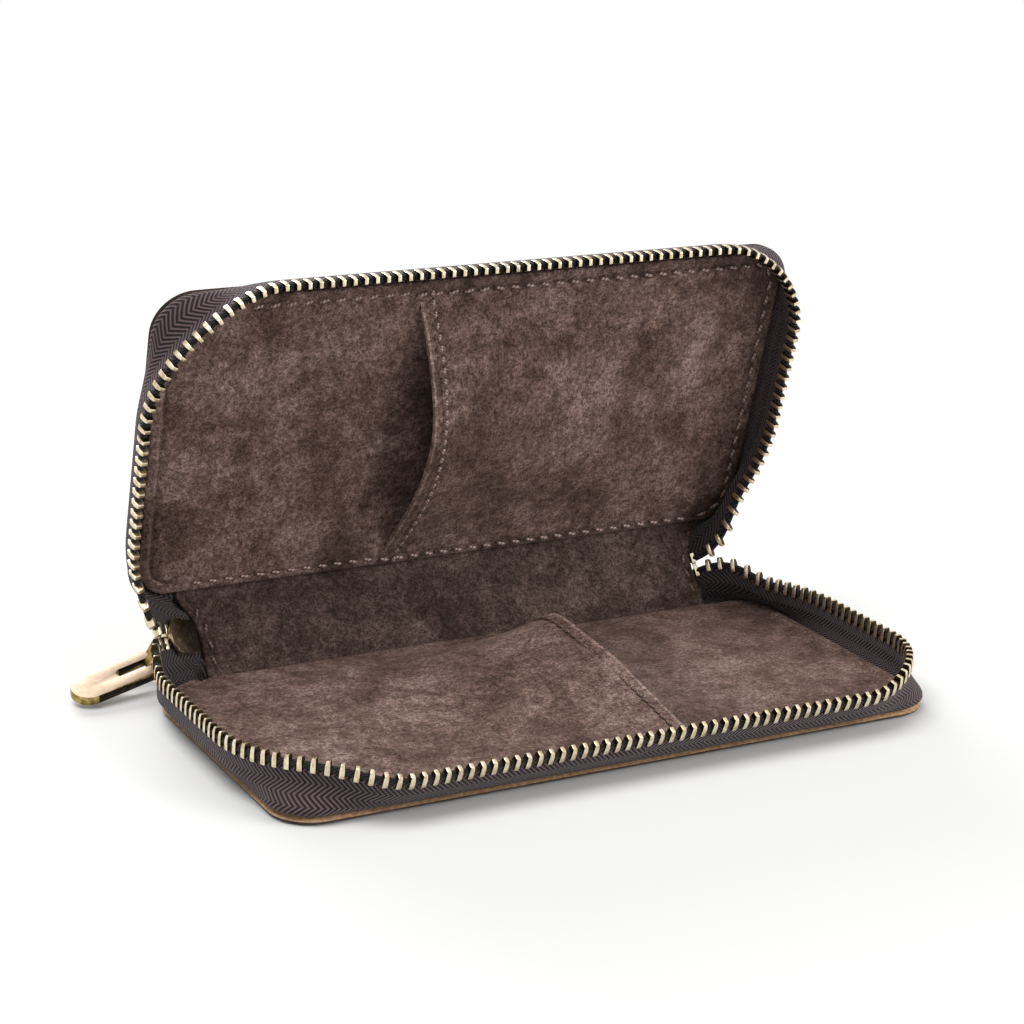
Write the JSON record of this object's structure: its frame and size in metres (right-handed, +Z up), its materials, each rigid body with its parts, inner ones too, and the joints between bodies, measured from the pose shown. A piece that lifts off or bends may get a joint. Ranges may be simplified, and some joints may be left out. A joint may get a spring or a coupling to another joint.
{
  "type": "watch travel case",
  "caption": "Zipped leather travel case that opens like a book, with a stiff lid and base, suede-lined pockets for watches and a woven zip gusset.",
  "frame": {"origin": "middle of the underside of the base cover, on the surface it rests on", "axes": "+X along the spine to the right, +Y from the front edge to the spine, +Z up"},
  "size_m": [0.1955, 0.11, 0.1064],
  "materials": {
    "base_cover": "waxed matt leather with a pull-up mottle",
    "base_board": "pressed fibre board",
    "base_lining": "brushed suede",
    "base_pocket": "brushed suede",
    "base_tape": "herringbone woven tape",
    "base_cord": "herringbone woven tape",
    "base_teeth": "antique brass",
    "base_stitching": "waxed thread",
    "base_pocket_stitching": "waxed thread",
    "base_front_tape": "herringbone woven tape",
    "base_front_cord": "herringbone woven tape",
    "base_front_teeth": "antique brass",
    "spine_cover": "waxed matt leather with a pull-up mottle",
    "spine_board": "pressed fibre board",
    "spine_lining": "brushed suede",
    "spine_stitching": "waxed thread",
    "left_tape_end": "herringbone woven tape",
    "right_tape_end": "herringbone woven tape",
    "left_end_teeth": "antique brass",
    "right_end_teeth": "antique brass",
    "bottom_stop": "antique brass",
    "top_stops": "antique brass",
    "lid_cover": "waxed matt leather with a pull-up mottle",
    "lid_board": "pressed fibre board",
    "lid_lining": "brushed suede",
    "lid_pocket": "brushed suede",
    "lid_tape": "herringbone woven tape",
    "lid_cord": "herringbone woven tape",
    "lid_teeth": "antique brass",
    "lid_stitching": "waxed thread",
    "lid_pocket_stitching": "waxed thread",
    "lid_cover_stitching": "waxed thread",
    "lid_front_tape": "herringbone woven tape",
    "lid_front_cord": "herringbone woven tape",
    "lid_front_teeth": "antique brass",
    "slider_body": "antique brass",
    "slider_bridge": "antique brass",
    "pull_link": "antique brass",
    "pull_tab": "antique brass",
    "pull_pin": "antique brass"
  },
  "bodies": {
    "base": {"base_cover": "base_cover", "base_board": "base_board", "base_lining": "base_lining", "base_pocket": "base_pocket", "base_tape": "base_tape", "base_cord": "base_cord", "base_teeth": "base_teeth", "base_stitching": "base_stitching", "base_pocket_stitching": "base_pocket_stitching"},
    "base_gusset": {"base_front_tape": "base_front_tape", "base_front_cord": "base_front_cord", "base_front_teeth": "base_front_teeth"},
    "spine": {"spine_cover": "spine_cover", "spine_board": "spine_board", "spine_lining": "spine_lining", "spine_stitching": "spine_stitching", "left_tape_end": "left_tape_end", "right_tape_end": "right_tape_end", "left_end_teeth": "left_end_teeth", "right_end_teeth": "right_end_teeth", "bottom_stop": "bottom_stop", "top_stops": "top_stops"},
    "lid": {"lid_cover": "lid_cover", "lid_board": "lid_board", "lid_lining": "lid_lining", "lid_pocket": "lid_pocket", "lid_tape": "lid_tape", "lid_cord": "lid_cord", "lid_teeth": "lid_teeth", "lid_stitching": "lid_stitching", "lid_pocket_stitching": "lid_pocket_stitching", "lid_cover_stitching": "lid_cover_stitching"},
    "lid_gusset": {"lid_front_tape": "lid_front_tape", "lid_front_cord": "lid_front_cord", "lid_front_teeth": "lid_front_teeth"},
    "slider": {"slider_body": "slider_body", "slider_bridge": "slider_bridge"},
    "link": {"pull_link": "pull_link"},
    "pull": {"pull_tab": "pull_tab", "pull_pin": "pull_pin"}
  },
  "joints": [
    {"name": "spine_fold", "type": "hinge", "parent": "base", "child": "spine", "pos_m": [0, 0.0408, 0.0022], "axis": [-1, 0, 0], "range_deg": [-37.5, 42.5]},
    {"name": "lid_fold", "type": "hinge", "parent": "spine", "child": "lid", "pos_m": [0, 0.05456, 0.02013], "axis": [-1, 0, 0], "range_deg": [-37.5, 42.5]},
    {"name": "base_gusset_flare", "type": "hinge", "parent": "base", "child": "base_gusset", "pos_m": [0, -0.043, 0.00225], "axis": [1, 0, 0], "range_deg": [-28.5, 32]},
    {"name": "lid_gusset_flare", "type": "hinge", "parent": "lid", "child": "lid_gusset", "pos_m": [0, 0.03282, 0.10106], "axis": [-1, 0, 0], "range_deg": [-15.2, 17.2]},
    {"name": "slider_slide", "type": "slide", "parent": "spine", "child": "slider", "axis": [-0.8829, -0.3725, 0.2858], "range_m": [0, 0.003]},
    {"name": "link_swing", "type": "hinge", "parent": "slider", "child": "link", "pos_m": [-0.07987, 0.04872, 0.01109], "axis": [0.2435, -0.9371, -0.25], "range_deg": [-14, 4]},
    {"name": "pull_swing", "type": "hinge", "parent": "link", "child": "pull", "pos_m": [-0.0829, 0.04937, 0.00572], "axis": [0.2435, -0.9371, -0.25], "range_deg": [-28, 3]}
  ],
  "couplings": [
    {"joint": "lid_fold", "follows": "spine_fold", "ratio": 1},
    {"joint": "base_gusset_flare", "follows": "spine_fold", "ratio": 0.74667},
    {"joint": "lid_gusset_flare", "follows": "spine_fold", "ratio": 0.4}
  ]
}
